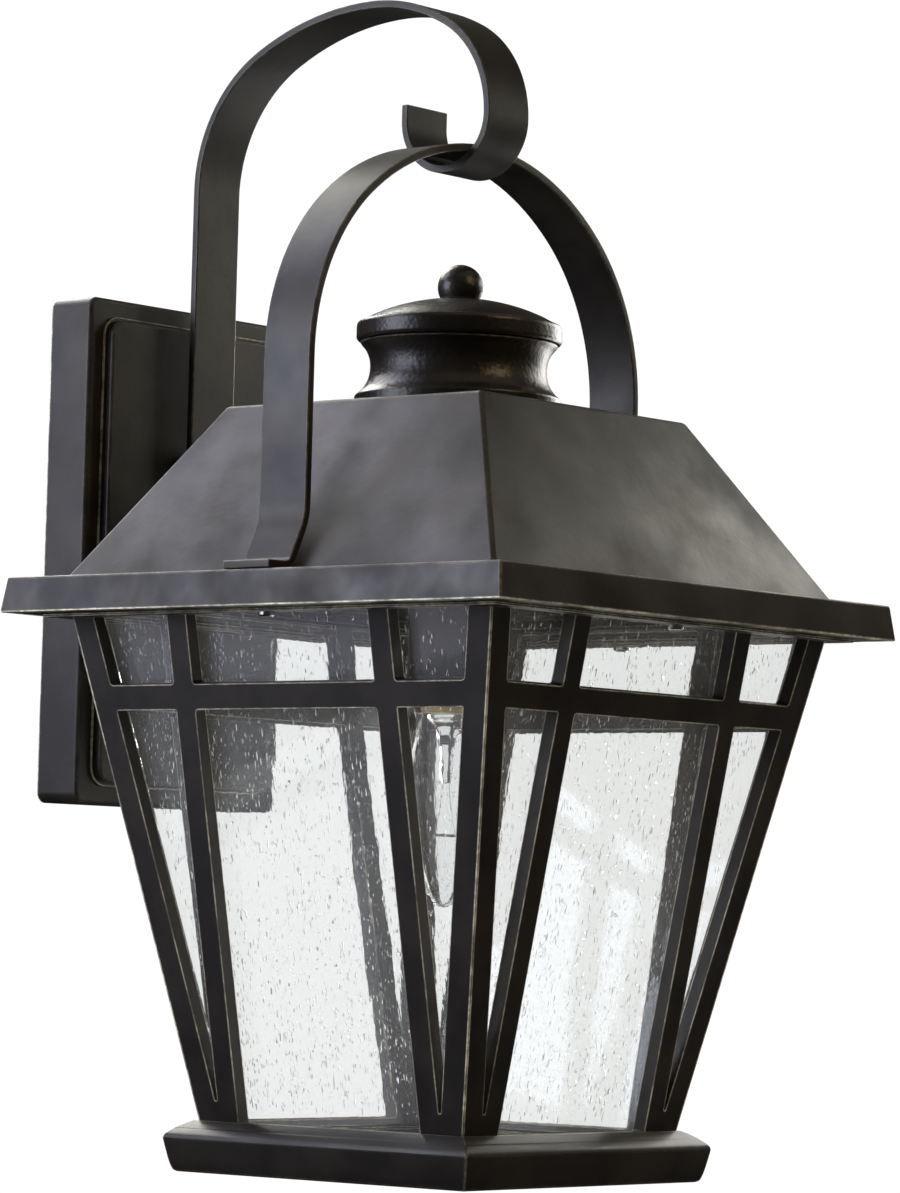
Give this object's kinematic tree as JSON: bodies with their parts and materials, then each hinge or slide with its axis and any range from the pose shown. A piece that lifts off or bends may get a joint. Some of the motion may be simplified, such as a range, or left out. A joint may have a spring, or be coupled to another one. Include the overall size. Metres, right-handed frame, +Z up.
{
  "type": "outdoor wall lantern",
  "caption": "Wall lantern hung from a hooked flat-strap arm: hipped roof with vent and ball, tapered seeded-glass cage, flared base tray and a tall wall plate.",
  "frame": {"origin": "centre of the back face of the mounting bracket, which lies on the wall, at the middle of the wall plate", "axes": "+Y points into the wall, -Y out over the lantern's front, +Z is up, +X is to the right when facing the wall"},
  "size_m": [0.254, 0.2946, 0.4723],
  "materials": {
    "bronze_plate": "satin dark bronze with faint rub-through on the edges",
    "bronze_strap": "satin dark bronze, flat bar with worn pale gold corners",
    "bronze_roof": "satin dark bronze sheet, faintly mottled",
    "bronze_vent": "semi-gloss dark bronze on turned pieces",
    "bronze_cage": "satin dark bronze, pale gold rub-through on the pane edges",
    "bronze_base": "satin dark bronze",
    "bronze_fitting": "satin dark bronze",
    "bright_screw": "bright plated",
    "zinc_steel": "zinc plated",
    "ground_green": "green lacquer",
    "seeded_glass": "clear, with long vertical seed bubbles",
    "bulb_glass": "clear blown",
    "bulb_brass": "rolled screw shell",
    "ceramic": "unglazed lampholder body"
  },
  "bodies": {
    "fixture": {"wall_plate": "bronze_plate", "plate_panel": "bronze_plate", "mounting_bracket": "zinc_steel", "stud_left": "zinc_steel", "stud_right": "zinc_steel", "cap_nut_left": "bronze_fitting", "cap_nut_right": "bronze_fitting", "ground_screw": "ground_green", "arm_strap": "bronze_strap", "arm_tube": "zinc_steel", "tube_collar": "bronze_fitting", "tube_nut_plate": "zinc_steel", "tube_nut_strap": "zinc_steel", "tube_nut_boss": "zinc_steel", "tube_nut_roof": "zinc_steel", "roof_boss": "bronze_fitting", "wedge_washer": "zinc_steel", "strap_spacer": "bronze_fitting", "strap_screw": "bronze_fitting", "strap_nut": "zinc_steel", "bail_strap": "bronze_strap", "bail_screw_left": "zinc_steel", "bail_screw_right": "zinc_steel", "roof_shell": "bronze_roof", "soffit": "bronze_roof", "vent_neck": "bronze_vent", "vent_cap": "bronze_vent", "center_rod": "zinc_steel", "rod_nut_roof": "zinc_steel", "rod_nut_socket": "zinc_steel", "socket_cup": "bronze_fitting", "socket_liner": "ceramic"},
    "cage": {"cage_frame_front": "bronze_cage", "cage_frame_right": "bronze_cage", "cage_frame_back": "bronze_cage", "cage_frame_left": "bronze_cage", "glass_front": "seeded_glass", "glass_right": "seeded_glass", "glass_back": "seeded_glass", "glass_left": "seeded_glass", "cage_flange": "bronze_cage", "base_tray": "bronze_base"},
    "finial": {"finial_ball": "bronze_vent"},
    "bulb": {"bulb_base": "bulb_brass", "bulb_glass": "bulb_glass"},
    "screw_left": {"cage_screw_left": "bright_screw"},
    "screw_right": {"cage_screw_right": "bright_screw"},
    "screw_front": {"cage_screw_front": "bright_screw"},
    "screw_back": {"cage_screw_back": "bright_screw"}
  },
  "joints": [
    {"name": "cage_drop", "type": "slide", "parent": "fixture", "child": "cage", "axis": [0, 0, -1], "range_m": [0, 0.15]},
    {"name": "finial_turn", "type": "hinge", "parent": "fixture", "child": "finial", "pos_m": [0, -0.1676, 0.105], "axis": [0, 0, 1], "continuous": true},
    {"name": "bulb_turn", "type": "hinge", "parent": "fixture", "child": "bulb", "pos_m": [0, -0.1676, -0.065], "axis": [0, 0, 1], "continuous": true},
    {"name": "screw_left_turn", "type": "hinge", "parent": "cage", "child": "screw_left", "pos_m": [-0.11124, -0.1676, -0.0335], "axis": [0, 0, 1], "continuous": true},
    {"name": "screw_right_turn", "type": "hinge", "parent": "cage", "child": "screw_right", "pos_m": [0.11124, -0.1676, -0.0335], "axis": [0, 0, 1], "continuous": true},
    {"name": "screw_front_turn", "type": "hinge", "parent": "cage", "child": "screw_front", "pos_m": [0, -0.27884, -0.0335], "axis": [0, 0, 1], "continuous": true},
    {"name": "screw_back_turn", "type": "hinge", "parent": "cage", "child": "screw_back", "pos_m": [0, -0.05636, -0.0335], "axis": [0, 0, 1], "continuous": true}
  ]
}
